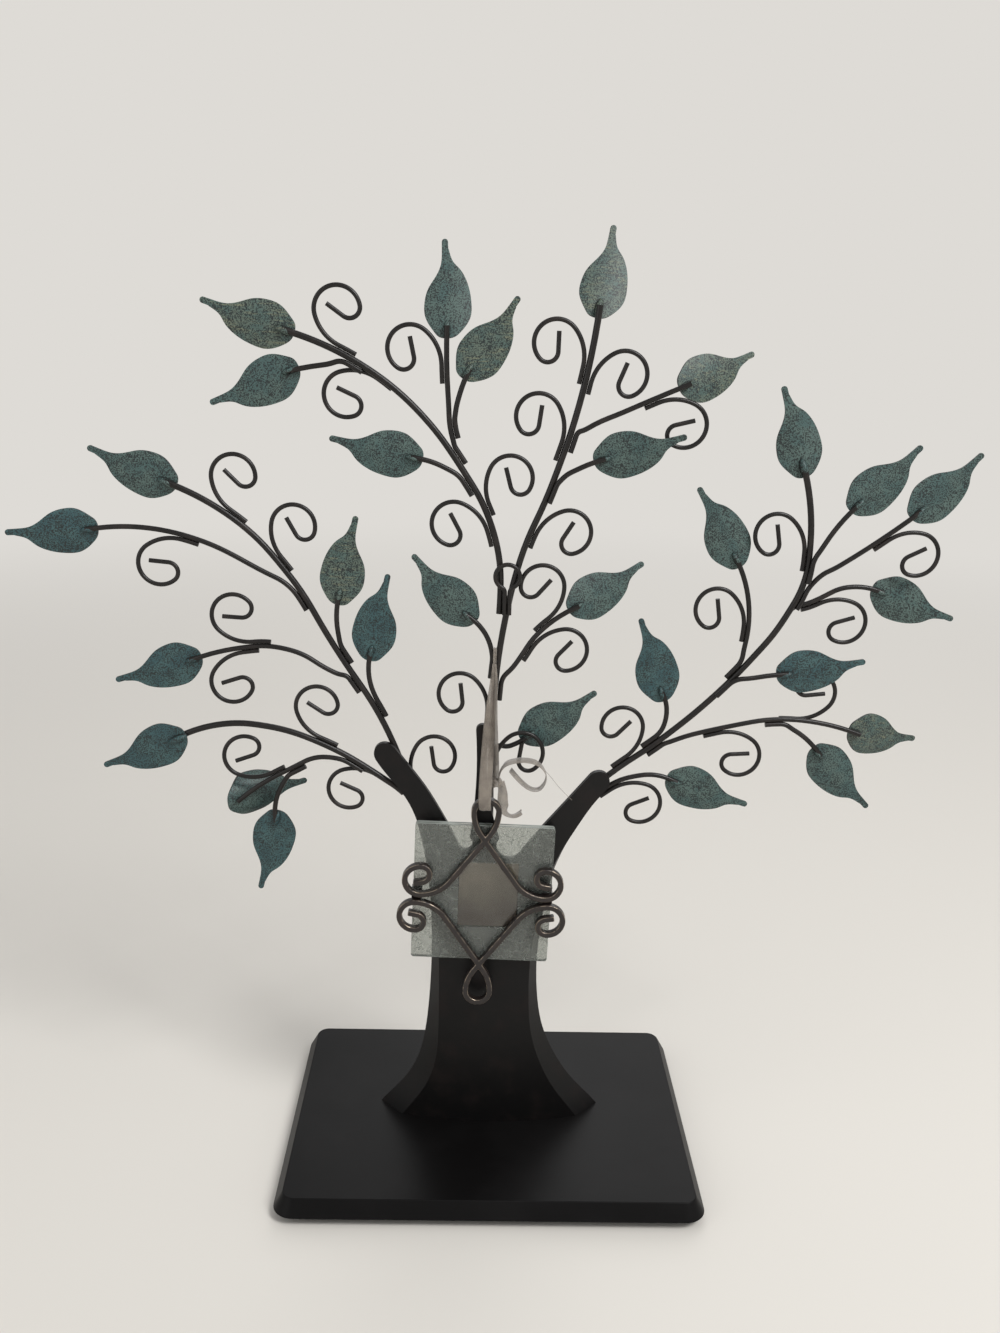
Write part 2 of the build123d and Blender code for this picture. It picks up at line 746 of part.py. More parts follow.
def base_plinth():
    """The wooden plinth: a bevelled block on a narrower riser."""
    riser = RectangleRounded(riser_width, riser_depth, base_corner_radius)
    block = RectangleRounded(outer_width, outer_depth, base_corner_radius + base_bevel_out)
    top = RectangleRounded(base_width, base_depth, base_corner_radius)
    plinth = extrude(Pos(0, 0, felt_thickness) * riser, amount=riser_height)
    plinth += loft([Pos(0, 0, riser_top) * block, Pos(0, 0, base_top) * top], ruled=True)
    for x in screw_places():
        recess = upright(washer_diameter / 2 + recess_slip, felt_thickness - overrun, recess_top)
        hole = upright(screw_diameter / 2 + screw_slip, felt_thickness, base_top + overrun)
        plinth -= Pos(x, screw_line, 0) * recess
        plinth -= Pos(x, screw_line, 0) * hole
    return plinth


def base_felt():
    """The felt sheet under the plinth."""
    shape = RectangleRounded(
        riser_width - 2 * felt_inset, riser_depth - 2 * felt_inset, base_corner_radius - felt_inset
    )
    return extrude(shape, amount=felt_thickness)


def base_washers():
    """One washer under each screw's head."""
    ring = upright(washer_diameter / 2, recess_top - washer_thickness, recess_top)
    ring -= upright(screw_diameter / 2 + screw_slip, felt_thickness, base_top)
    return [Pos(x, screw_line, 0) * ring for x in screw_places()]


def base_screws():
    """The screws that hold the foot plate down, heads below."""
    head_top = recess_top - washer_thickness
    screw = upright(screw_head_diameter / 2, head_top - screw_head_height, head_top)
    screw += upright(screw_diameter / 2, head_top, base_top + screw_bite)
    return [Pos(x, screw_line, 0) * screw for x in screw_places()]


def on_glass(depth):
    """The ornament's own plane at a depth, turned a little as it hangs."""
    return front_plane(depth, glass_centre_x, glass_centre_height, glass_turn)


def glass_plate():
    return RectangleRounded(glass_width, glass_height, glass_corner_radius)


def glass_front():
    """The front pane."""
    return extrude(on_glass(pocket_front) * glass_plate(), amount=glass_thickness)


def glass_back():
    """The back pane, with the shallow pocket that the photo slides into from above."""
    pane = extrude(on_glass(back_glass_back) * glass_plate(), amount=glass_thickness + pocket_depth)
    bottom = -photo_drop - photo_height / 2 - photo_slip
    height = glass_height / 2 + overrun - bottom
    pocket = Pos(photo_offset, bottom + height / 2) * Rectangle(photo_width + 2 * photo_slip, height)
    return pane - extrude(on_glass(pocket_back) * pocket, amount=pocket_depth)


def photo_card():
    """The picture card in the pocket."""
    card = Pos(photo_offset, -photo_drop) * Rectangle(photo_width, photo_height)
    back = pocket_back - (pocket_depth - photo_thickness) / 2
    return extrude(on_glass(back) * card, amount=photo_thickness)


def side_clips():
    """The two channels that grip the panes' sides and carry the frames."""
    clips = []
    for side in (-1, 1):
        inner = glass_width / 2 + clip_slip
        outer = inner + clip_wall
        middle = (inner + clip_wall - clip_reach + outer) / 2
        block = Pos(side * middle, -clip_drop) * Rectangle(clip_reach, clip_height)
        slot = Pos(side * (inner - clip_reach), -clip_drop) * Rectangle(2 * clip_reach, 2 * clip_height)
        body = extrude(on_glass(clip_back) * block, amount=clip_back - clip_front)
        back = back_glass_back + clip_slip
        clips.append(body - extrude(on_glass(back) * slot, amount=back - front_glass_front + clip_slip))
    return clips


def scrolled_frame(start, upward, leg):
    """One scrolled strip from the loop's end to its curl, with its mirrored twin."""
    path = Bender((0, upward * start), 180)
    path.turn(strip_loop_radius, upward * 90)
    path.turn(strip_neck_radius, upward * strip_neck_turn)
    path.straight(leg)
    path.turn(strip_shoulder_radius, upward * (90 - strip_neck_turn))
    path.turn(strip_curl_radius, upward * strip_curl_turn)
    path.turn(strip_inner_radius, upward * strip_inner_turn)
    path.straight(strip_tail)
    half = extrude(on_glass(strip_back) * path.trace(strip_thickness), amount=strip_depth)
    other_face = on_glass(strip_back) * mirror(path.trace(strip_thickness), about=Plane.YZ)
    other = extrude(other_face, amount=strip_depth)
    return half + other


# The ribbon's front strand: shares of its set-back and of its rise, from the ornament upwards
front_strand_shares = ((0.13, 0.17), (0.48, 0.395), (0.73, 0.62), (0.96, 0.84), (1.00, 1.00))
# The return strand, in the same shares of the set-back and of the rise above the knot
return_strand_shares = ((0.00, 0.30), (0.36, 0.62), (0.46, 1.00))
# The ribbon's curl beside the knot, in shares of its reach
curl_shares = (
    (0.07, 0.33), (0.48, 0.45), (0.87, 0.39), (1.00, 0.16), (0.87, -0.09), (0.60, 0.00),
    (0.29, 0.27),
)


def across(sketch, x, width):
    """A band that runs in the side view and is this wide from left to right."""
    return extrude(side_plane(x - width / 2) * sketch, amount=width)


def leaned(shape, x, z, degrees):
    """A shape leaned to the right about a point of the front view."""
    return Pos(x, 0, z) * Rot(0, degrees, 0) * Pos(-x, 0, -z) * shape


def ribbon_knot():
    """The knot over the ornament's loop."""
    knot = Box(knot_width, knot_thickness, knot_height)
    knot = fillet(knot.edges(), knot_edge_radius)
    return Pos(knot_x, knot_depth, hang_height + knot_rise) * knot


def ribbon_loop():
    """The ribbon's two strands and the bend that carries the ornament's loop."""
    front_y = hang_depth - ribbon_hang_radius
    points = [
        Vector(front_y + a * ribbon_set_back, hang_height + b * ribbon_rise)
        for a, b in front_strand_shares
    ]
    strand = Bender((front_y, hang_height), 90).follow(points)
    band = across(strand.trace(ribbon_thickness), ribbon_x, ribbon_width)
    loop = leaned(band, ribbon_x, hang_height, ribbon_lean)
    bend = Bender((front_y, hang_height), 270)
    bend.turn(ribbon_hang_radius, 180).straight(ribbon_tuck)
    eye_x = glass_centre_x - upper_loop_top * math.sin(math.radians(glass_turn))
    loop += across(bend.trace(ribbon_thickness), eye_x, ribbon_gather)
    knot_z = hang_height + knot_rise
    points = [
        Vector(return_depth + a * ribbon_set_back, knot_z + b * (ribbon_rise - knot_rise))
        for a, b in return_strand_shares
    ]
    strand = Bender((return_depth, knot_z), 90).follow(points)
    band = across(strand.trace(ribbon_width), return_x, ribbon_thickness)
    loop += leaned(band, return_x, knot_z, return_lean)
    return loop - ribbon_knot()


def ribbon_tails():
    """The two loose ends below and beside the knot."""
    knot_z = hang_height + knot_rise
    tail = Bender((tail_x, knot_z), 270)
    tail.straight(tail_drop).turn(tail_hook_radius, tail_hook_turn).straight(tail_end)
    hanging = extrude(front_plane(tail_depth) * tail.trace(tail_width), amount=ribbon_thickness)
    points = [Vector(knot_x + a * curl_reach, knot_z + b * curl_reach) for a, b in curl_shares]
    curl = Bender((knot_x + curl_start, knot_z), 90).follow(points)
    start = curl_depth + ribbon_width / 2
    ring = extrude(front_plane(start) * curl.trace(ribbon_thickness), amount=ribbon_width)
    return [hanging - ribbon_knot(), ring - ribbon_knot()]


def ribbon_bight(branches):
    """The ribbon's folded middle, laid over the fork of a twig and its stem."""
    stem_depth = branches["centre_high"].depth
    path = Bender((stem_depth - bight_radius, bight_foot), 90)
    path.straight(bight_top - bight_radius - bight_foot)
    path.turn(bight_radius, -180)
    path.straight(bight_top - bight_radius - bight_foot)
    return across(path.trace(bight_thickness), bight_x, bight_width)


def write(name, shapes):
    """Writes one piece, as one solid or several, and tells its size."""
    shapes = shapes if isinstance(shapes, list) else [shapes]
    solids = [solid for shape in shapes for solid in shape.solids()]
    export_step(Compound(children=solids), f"parts/{name}.step")
    print(name, len(solids), round(sum(solid.volume for solid in solids)))


def main():
    """Builds and writes every piece."""
    os.makedirs("parts", exist_ok=True)
    write("trunk_panel", trunk_panel())
    write("trunk_foot_plate", trunk_foot_plate())
    write("base_plinth", base_plinth())
    write("base_felt", base_felt())
    write("base_washers", base_washers())
    write("base_screws", base_screws())
    write("glass_front", glass_front())
    write("glass_back", glass_back())
    write("photo_card", photo_card())
    write("side_clips", side_clips())
    write("upper_frame", scrolled_frame(upper_loop_top, 1, upper_leg))
    write("lower_frame", scrolled_frame(lower_loop_end, -1, lower_leg))
    branches = grow_branches()
    for name in stem_plan:
        write(f"stem_{name}", branches[name].solid())
    for group in ("left", "centre", "right"):
        twigs = [name for name in branches if name.startswith(group) and name not in stem_plan]
        found = [branches[name].solid() for name in twigs]
        write(f"twigs_{group}", found)
    for group, scrolls in grow_scrolls(branches).items():
        write(f"scrolls_{group}", [s.solid() for s in scrolls])
    write("hanging_eye", hanging_eye(branches).solid())
    write("ribbon_loop", ribbon_loop())
    write("ribbon_knot", ribbon_knot())
    write("ribbon_tails", ribbon_tails())
    write("ribbon_bight", ribbon_bight(branches))
    blank = rolled_leaf(leaf_roll_radius)
    for name, entry in leaf_plan.items():
        write(f"leaf_{name}", place_leaf(branches[name], *entry, blank))
    write("leaf_left_5", curled_leaf(branches["left_5"]))


if __name__ == "__main__":
    main()
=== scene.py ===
"""Tabletop photo tree: painted wire crown, stamped leaves, a wooden plinth and a hung glass ornament."""

import logging
import math
from dataclasses import dataclass, field
from enum import Enum
from typing import Any, Iterable, Sequence

import bmesh
import bpy
from mathutils import Matrix, Vector
from mathutils.bvhtree import BVHTree


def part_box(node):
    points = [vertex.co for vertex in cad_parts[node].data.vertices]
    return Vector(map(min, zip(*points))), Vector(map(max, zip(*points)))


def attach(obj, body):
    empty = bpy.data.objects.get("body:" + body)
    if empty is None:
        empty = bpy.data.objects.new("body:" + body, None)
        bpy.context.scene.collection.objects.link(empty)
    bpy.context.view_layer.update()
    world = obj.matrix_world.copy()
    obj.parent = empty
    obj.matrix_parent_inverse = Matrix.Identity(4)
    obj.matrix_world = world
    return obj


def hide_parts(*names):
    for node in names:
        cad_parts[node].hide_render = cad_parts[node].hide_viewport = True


log = logging.getLogger("photo_tree")
MM = 0.001
MICRON = 0.001 * MM
CREASE = math.radians(32)
FLAT = math.radians(0.05)
WELD = 2 * MICRON
NOISE_ROUGHNESS = 0.6
Socket = bpy.types.NodeSocket


def linear(code: str) -> tuple[float, float, float, float]:
    """Turns an sRGB hex colour to linear.

    Args:
        code: the colour as #rrggbb.

    Returns:
        Linear red, green and blue, with full alpha.
    """
    parts = [int(code[i:i + 2], 16) / 255 for i in (1, 3, 5)]
    red, green, blue = (c / 12.92 if c <= 0.04045 else ((c + 0.055) / 1.055) ** 2.4 for c in parts)
    return red, green, blue, 1.0


def add(
    tree: bpy.types.NodeTree, kind: str, inputs: dict[Any, Any] | None = None, **settings: Any
) -> bpy.types.Node:
    """Adds one shader node with its settings, values and links.

    Args:
        tree: the node tree that it goes into.
        kind: the node's type name without its ShaderNode prefix.
        inputs: the sockets to set, by name or number, to a value or to another node's output.
        **settings: the node's own properties.

    Returns:
        The new node.
    """
    made = tree.nodes.new("ShaderNode" + kind)
    for name, value in settings.items():
        setattr(made, name, value)
    for name, value in (inputs or {}).items():
        if isinstance(value, Socket):
            tree.links.new(value, made.inputs[name])
        else:
            made.inputs[name].default_value = value
    return made


def per_metre(size_mm: float) -> float:
    """The texture scale that repeats about once in a size in millimetres."""
    return 1 / (size_mm * MM)


@dataclass(frozen=True)
class Finish:
    """A surface finish: a base material that its kinds refine."""

    name: str

    def build(self) -> bpy.types.Material:
        """Makes the material and its node tree.

        Returns:
            The finished material.
        """
        material = bpy.data.materials.new(self.name)
        material.use_nodes = True
        tree = material.node_tree
        tree.nodes.clear()
        out = add(tree, "OutputMaterial")
        where = add(tree, "TexCoord").outputs["Object"]
        tree.links.new(self.shader(tree, where), out.inputs["Surface"])
        return material

    def shader(self, tree: bpy.types.NodeTree, where: Socket) -> Socket:
        """Draws the surface.

        Args:
            tree: the material's node tree.
            where: the object coordinates, in metres.

        Returns:
            The shader's output.
        """
        raise NotImplementedError

    @staticmethod
    def noise(tree: bpy.types.NodeTree, where: Socket, size_mm: float, detail: float = 3.0) -> Socket:
        """A noise whose grains are about this many millimetres across."""
        scale = per_metre(size_mm)
        inputs = {"Vector": where, "Scale": scale, "Detail": detail, "Roughness": NOISE_ROUGHNESS}
        return add(tree, "TexNoise", inputs).outputs["Fac"]

    @staticmethod
    def ramp(tree: bpy.types.NodeTree, value: Socket, low: float, high: float) -> Socket:
        """A smooth step from nought at the low value to one at the high value."""
        inputs = {"Value": value, "From Min": low, "From Max": high}
        return add(tree, "MapRange", inputs, interpolation_type="SMOOTHSTEP").outputs["Result"]

    @staticmethod
    def blend(tree: bpy.types.NodeTree, share: Socket, first: Any, second: Any) -> Socket:
        """Mixes two colours by a share."""
        mix = add(tree, "Mix", {"Factor": share}, data_type="RGBA")
        for socket, colour in ((mix.inputs[6], first), (mix.inputs[7], second)):
            if isinstance(colour, Socket):
                tree.links.new(colour, socket)
            else:
                socket.default_value = colour
        return mix.outputs[2]

    @staticmethod
    def bump(tree: bpy.types.NodeTree, height: Socket, depth_mm: float, strength: float = 1.0) -> Socket:
        """A bump of a real depth in millimetres."""
        inputs = {"Height": height, "Distance": depth_mm * MM, "Strength": strength}
        return add(tree, "Bump", inputs).outputs["Normal"]

    @staticmethod
    def facing(tree: bpy.types.NodeTree) -> Socket:
        """How squarely a face looks along its own object's depth: one at a front, nought at a side."""
        normal = add(tree, "TexCoord").outputs["Normal"]
        parts = add(tree, "SeparateXYZ", {"Vector": normal})
        return add(tree, "Math", {0: parts.outputs["Y"]}, operation="ABSOLUTE").outputs[0]


@dataclass(frozen=True)
class PowderCoat(Finish):
    """Baked paint on sheet or rod: an even satin skin with a faint orange peel."""

    colour: str = "#161413"
    worn: str = "#2b2420"
    roughness: float = 0.42
    rub: float = 0.08
    gloss: float = 0.24
    peel_mm: float = 0.9
    peel_depth_mm: float = 0.02
    cloud_mm: float = 14.0
    cloud_range: tuple[float, float] = (0.45, 0.75)

    def shader(self, tree: bpy.types.NodeTree, where: Socket) -> Socket:
        """Satin paint that is a little warmer where hands have rubbed it."""
        cloud = self.ramp(tree, self.noise(tree, where, self.cloud_mm), *self.cloud_range)
        colour = self.blend(tree, cloud, linear(self.colour), linear(self.worn))
        peel = self.noise(tree, where, self.peel_mm, 2.0)
        rubbed = self.roughness + self.rub
        rough = add(tree, "MapRange", {"Value": cloud, "To Min": self.roughness, "To Max": rubbed})
        inputs = {
            "Base Color": colour,
            "Roughness": rough.outputs["Result"],
            "Specular IOR Level": self.gloss,
            "Normal": self.bump(tree, peel, self.peel_depth_mm),
        }
        return add(tree, "BsdfPrincipled", inputs).outputs[0]


@dataclass(frozen=True)
class RubbedStrip(Finish):
    """Oil-rubbed bronze paint on square strip: its corners are worn bright."""

    colour: str = "#1f1917"
    cloud: str = "#2b221e"
    bright: str = "#9a8d7e"
    roughness: float = 0.36
    rise_range: tuple[float, float] = (0.10, 0.45)
    fall_range: tuple[float, float] = (0.97, 0.80)
    scuff_mm: float = 2.6
    scuff_range: tuple[float, float] = (0.38, 0.62)
    cloud_mm: float = 7.0
    cloud_range: tuple[float, float] = (0.45, 0.75)
    peel_mm: float = 0.8
    peel_depth_mm: float = 0.02

    def shader(self, tree: bpy.types.NodeTree, where: Socket) -> Socket:
        """Dark paint with bright metal where the bevelled corners catch."""
        facing = self.facing(tree)
        rise = self.ramp(tree, facing, *self.rise_range)
        fall = self.ramp(tree, facing, *self.fall_range)
        band = add(tree, "Math", {0: rise, 1: fall}, operation="MULTIPLY").outputs[0]
        scuffs = self.ramp(tree, self.noise(tree, where, self.scuff_mm), *self.scuff_range)
        rubbed = add(tree, "Math", {0: band, 1: scuffs}, operation="MULTIPLY").outputs[0]
        cloud = self.ramp(tree, self.noise(tree, where, self.cloud_mm), *self.cloud_range)
        coat = self.blend(tree, cloud, linear(self.colour), linear(self.cloud))
        inputs = {
            "Base Color": self.blend(tree, rubbed, coat, linear(self.bright)),
            "Metallic": rubbed,
            "Roughness": self.roughness,
            "Normal": self.bump(tree, self.noise(tree, where, self.peel_mm), self.peel_depth_mm),
        }
        return add(tree, "BsdfPrincipled", inputs).outputs[0]


@dataclass(frozen=True)
class SpeckledVerdigris(Finish):
    """Aged-copper paint sponged on stamped steel: a blue-green ground under fine black speckle."""

    ground: str = "#4d605b"
    patch: str = "#3e5654"
    speckle: str = "#182222"
    streak: str = "#6e725e"
    rim: str = "#1a1f1e"
    streaks: float = 0.0
    speckle_mm: float = 0.6
    speckle_depth_mm: float = 0.04
    speckle_range: tuple[float, float] = (0.592, 0.655)
    patch_mm: float = 9.0
    patch_range: tuple[float, float] = (0.40, 0.62)
    brush_mm: float = 1.1
    brush_turn: float = 0.9
    brush_stretch: float = 0.10
    brush_range: tuple[float, float] = (0.52, 0.66)
    cluster_mm: float = 6.0
    cluster_share: float = 0.22
    rim_range: tuple[float, float] = (0.50, 0.25)
    roughness: float = 0.52

    def shader(self, tree: bpy.types.NodeTree, where: Socket) -> Socket:
        """Sponged ground, dark speckle in clusters, brushed streaks and a dark rim."""
        patches = self.ramp(tree, self.noise(tree, where, self.patch_mm), *self.patch_range)
        ground = self.blend(tree, patches, linear(self.ground), linear(self.patch))
        turned = add(tree, "Mapping", {
            "Vector": where,
            "Rotation": (0, self.brush_turn, 0),
            "Scale": (self.brush_stretch, 1, 1),
        })
        brushed = self.ramp(tree, self.noise(tree, turned.outputs[0], self.brush_mm), *self.brush_range)
        brushed = add(tree, "Math", {0: brushed, 1: self.streaks}, operation="MULTIPLY").outputs[0]
        ground = self.blend(tree, brushed, ground, linear(self.streak))
        grain = self.noise(tree, where, self.speckle_mm, 4.0)
        cluster = self.noise(tree, where, self.cluster_mm)
        height = add(tree, "Math", {0: cluster, 1: self.cluster_share, 2: grain}, operation="MULTIPLY_ADD")
        dots = self.ramp(tree, height.outputs[0], *self.speckle_range)
        speckled = self.blend(tree, dots, ground, linear(self.speckle))
        rim = self.ramp(tree, self.facing(tree), *self.rim_range)
        inputs = {
            "Base Color": self.blend(tree, rim, speckled, linear(self.rim)),
            "Roughness": self.roughness,
            "Normal": self.bump(tree, grain, self.speckle_depth_mm),
        }
        return add(tree, "BsdfPrincipled", inputs).outputs[0]


@dataclass(frozen=True)
class PaintedBoard(Finish):
    """Sprayed black lacquer on a wooden board: satin, with the grain just telegraphing through."""

    colour: str = "#0b0a0a"
    hazed: str = "#100f0f"
    roughness: float = 0.42
    gloss: float = 0.12
    grain_mm: float = 1.6
    grain_stretch: float = 0.06
    grain_depth_mm: float = 0.015
    haze_mm: float = 40.0
    haze_range: tuple[float, float] = (0.4, 0.7)

    def shader(self, tree: bpy.types.NodeTree, where: Socket) -> Socket:
        """Even black with long faint grain along the plinth."""
        along = add(tree, "Mapping", {"Vector": where, "Scale": (self.grain_stretch, 1, 1)})
        grain = self.noise(tree, along.outputs[0], self.grain_mm)
        haze = self.ramp(tree, self.noise(tree, where, self.haze_mm), *self.haze_range)
        colour = self.blend(tree, haze, linear(self.colour), linear(self.hazed))
        inputs = {
            "Base Color": colour,
            "Roughness": self.roughness,
            "Specular IOR Level": self.gloss,
            "Normal": self.bump(tree, grain, self.grain_depth_mm),
        }
        return add(tree, "BsdfPrincipled", inputs).outputs[0]


@dataclass(frozen=True)
class WoolFelt(Finish):
    """Pressed felt: matt, with short stray fibres."""

    colour: str = "#1b1a1a"
    fibre: str = "#2c2b2b"
    roughness: float = 0.95
    sheen: float = 0.3
    fibre_mm: float = 0.6
    fibre_depth_mm: float = 0.15

    def shader(self, tree: bpy.types.NodeTree, where: Socket) -> Socket:
        """Matt fibres in soft clumps."""
        fibres = self.noise(tree, where, self.fibre_mm, 5.0)
        colour = self.blend(tree, fibres, linear(self.colour), linear(self.fibre))
        inputs = {
            "Base Color": colour,
            "Roughness": self.roughness,
            "Sheen Weight": self.sheen,
            "Normal": self.bump(tree, fibres, self.fibre_depth_mm),
        }
        return add(tree, "BsdfPrincipled", inputs).outputs[0]


@dataclass(frozen=True)
class ZincPlate(Finish):
    """Zinc-plated steel hardware, turned and tumbled."""

    colour: str = "#b9bab8"
    dull: str = "#8f908f"
    roughness: float = 0.34
    grain_mm: float = 0.7
    grain_depth_mm: float = 0.01

    def shader(self, tree: bpy.types.NodeTree, where: Socket) -> Socket:
        """Grey metal with a fine tumbled grain."""
        grain = self.noise(tree, where, self.grain_mm)
        inputs = {
            "Base Color": self.blend(tree, grain, linear(self.colour), linear(self.dull)),
            "Metallic": 1.0,
            "Roughness": self.roughness,
            "Normal": self.bump(tree, grain, self.grain_depth_mm),
        }
        return add(tree, "BsdfPrincipled", inputs).outputs[0]


@dataclass(frozen=True)
class EtchedGlass(Finish):
    """Clear float glass with light acid-etched curls and ground edges."""

    tint: str = "#e8eae7"
    frost: str = "#858a84"
    clear_roughness: float = 0.04
    frost_roughness: float = 0.6
    index: float = 1.45
    window_edge_mm: float = 0.2
    curl_mm: float = 8.0
    line_range: tuple[float, float] = (0.016, 0.007)
    edge_range: tuple[float, float] = (0.95, 0.60)
    etch: float = 0.5
    haze: float = 0.26
    window_x: tuple[float, float] = (-0.0185, 0.0110)
    window_z: tuple[float, float] = (0.1268, 0.1610)

    def shader(self, tree: bpy.types.NodeTree, where: Socket) -> Socket:
        """Clear panes: the etched lines scatter the light, and the rest lets it through."""
        outside = self.outside(tree, where)
        curls = self.noise(tree, where, self.curl_mm, 2.5)
        from_middle = add(tree, "Math", {0: curls, 1: 0.5}, operation="SUBTRACT").outputs[0]
        from_middle = add(tree, "Math", {0: from_middle}, operation="ABSOLUTE").outputs[0]
        lines = self.ramp(tree, from_middle, *self.line_range)
        etched = add(tree, "Math", {0: lines, 1: outside}, operation="MULTIPLY").outputs[0]
        edge = self.ramp(tree, self.facing(tree), *self.edge_range)
        frosted = add(tree, "Math", {0: etched, 1: self.etch}, operation="MULTIPLY").outputs[0]
        frosted = add(tree, "Math", {0: frosted, 1: edge}, operation="MAXIMUM").outputs[0]
        rough = add(tree, "MapRange", {
            "Value": frosted,
            "To Min": self.clear_roughness,
            "To Max": self.frost_roughness,
        })
        clear = add(tree, "BsdfPrincipled", {
            "Base Color": linear(self.tint),
            "Roughness": rough.outputs["Result"],
            "IOR": self.index,
            "Transmission Weight": 1.0,
        })
        matt = add(tree, "BsdfPrincipled", {
            "Base Color": linear(self.frost),
            "Roughness": self.frost_roughness,
        })
        veil = add(tree, "Math", {0: outside, 1: self.haze}, operation="MULTIPLY").outputs[0]
        share = add(tree, "Math", {0: frosted, 1: veil}, operation="MAXIMUM").outputs[0]
        mix = add(tree, "MixShader", {0: share, 1: clear.outputs[0], 2: matt.outputs[0]})
        return mix.outputs[0]

    def outside(self, tree: bpy.types.NodeTree, where: Socket) -> Socket:
        """One outside the picture's window and nought within it."""
        parts = add(tree, "SeparateXYZ", {"Vector": where})
        sides = []
        for axis, (low, high) in (("X", self.window_x), ("Z", self.window_z)):
            middle, half = (low + high) / 2, (high - low) / 2
            away = add(tree, "Math", {0: parts.outputs[axis], 1: middle}, operation="SUBTRACT").outputs[0]
            away = add(tree, "Math", {0: away}, operation="ABSOLUTE").outputs[0]
            edge = self.window_edge_mm * MM
            sides.append(self.ramp(tree, away, half - edge, half + edge))
        return add(tree, "Math", {0: sides[0], 1: sides[1]}, operation="MAXIMUM").outputs[0]


@dataclass(frozen=True)
class PrintedCard(Finish):
    """Semi-gloss picture paper with a plain toned field, so any picture may be put in its place."""

    top: str = "#968c80"
    foot: str = "#4a3f38"
    low: float = 0.128
    high: float = 0.162
    mottle_mm: float = 9.0
    mottle_range: tuple[float, float] = (0.3, 0.8)
    mottle_share: float = 0.25
    roughness: float = 0.3

    def shader(self, tree: bpy.types.NodeTree, where: Socket) -> Socket:
        """A soft tone from light at the top to dark at the foot, with a faint mottle."""
        height = add(tree, "SeparateXYZ", {"Vector": where}).outputs["Z"]
        tone = self.ramp(tree, height, self.low, self.high)
        mottle = self.ramp(tree, self.noise(tree, where, self.mottle_mm), *self.mottle_range)
        inputs = {0: mottle, 1: self.mottle_share, 2: tone}
        tone = add(tree, "Math", inputs, operation="MULTIPLY_ADD").outputs[0]
        colour = self.blend(tree, tone, linear(self.foot), linear(self.top))
        inputs = {"Base Color": colour, "Roughness": self.roughness}
        return add(tree, "BsdfPrincipled", inputs).outputs[0]


@dataclass(frozen=True)
class Organza(Finish):
    """Sheer nylon organza: fine open threads that glisten."""

    colour: str = "#7c7369"
    lit: str = "#968c80"
    thread_mm: float = 0.45
    thread_depth_mm: float = 0.05
    thread_range: tuple[float, float] = (0.1, 0.9)
    cover: float = 0.46
    thread_cover: float = 0.8
    shade_mm: float = 5.0
    shade_range: tuple[float, float] = (0.3, 0.7)
    roughness: float = 0.42
    sheen: float = 0.5

    def shader(self, tree: bpy.types.NodeTree, where: Socket) -> Socket:
        """Threads both ways; the real ones are finer and are drawn as coarse as they need to show."""
        flat = add(tree, "UVMap", uv_map="cloth").outputs["UV"]
        parts = add(tree, "SeparateXYZ", {"Vector": flat})
        warp = self.threads(tree, parts.outputs["X"])
        weft = self.threads(tree, parts.outputs["Y"])
        weave = add(tree, "Math", {0: warp, 1: weft}, operation="MAXIMUM").outputs[0]
        cover = add(tree, "MapRange", {"Value": weave, "To Min": self.cover, "To Max": self.thread_cover})
        shade = self.ramp(tree, self.noise(tree, where, self.shade_mm), *self.shade_range)
        inputs = {
            "Base Color": self.blend(tree, shade, linear(self.colour), linear(self.lit)),
            "Roughness": self.roughness,
            "Sheen Weight": self.sheen,
            "Alpha": cover.outputs["Result"],
            "Normal": self.bump(tree, weave, self.thread_depth_mm),
        }
        return add(tree, "BsdfPrincipled", inputs).outputs[0]

    def threads(self, tree: bpy.types.NodeTree, across: Socket) -> Socket:
        """Evenly spaced thread lines along one way of the cloth."""
        turns = add(tree, "Math", {0: across, 1: math.tau / self.thread_mm}, operation="MULTIPLY").outputs[0]
        wave = add(tree, "Math", {0: turns}, operation="SINE").outputs[0]
        return self.ramp(tree, wave, *self.thread_range)


class Tone(Enum):
    """The three ways the leaves' sponged paint came out."""

    TEAL = "teal"
    BLUE = "blue"
    OLIVE = "olive"


def paint(piece: bpy.types.Object, material: bpy.types.Material) -> None:
    """Gives a piece one material in every slot."""
    if not piece.material_slots:
        piece.data.materials.append(material)
    for place in piece.material_slots:
        place.material = material


def dressed(
    name: str, mesh: bpy.types.Mesh, material: bpy.types.Material, body: str
) -> bpy.types.Object:
    """Puts a finished mesh in the scene as a piece of a body.

    Args:
        name: the piece's name.
        mesh: its mesh, in place.
        material: its material.
        body: the body that it rides on.

    Returns:
        The new object.
    """
    piece = bpy.data.objects.new(name, mesh)
    bpy.context.scene.collection.objects.link(piece)
    paint(piece, material)
    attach(piece, body)
    log.info("%s: %d faces", name, len(mesh.polygons))
    return piece


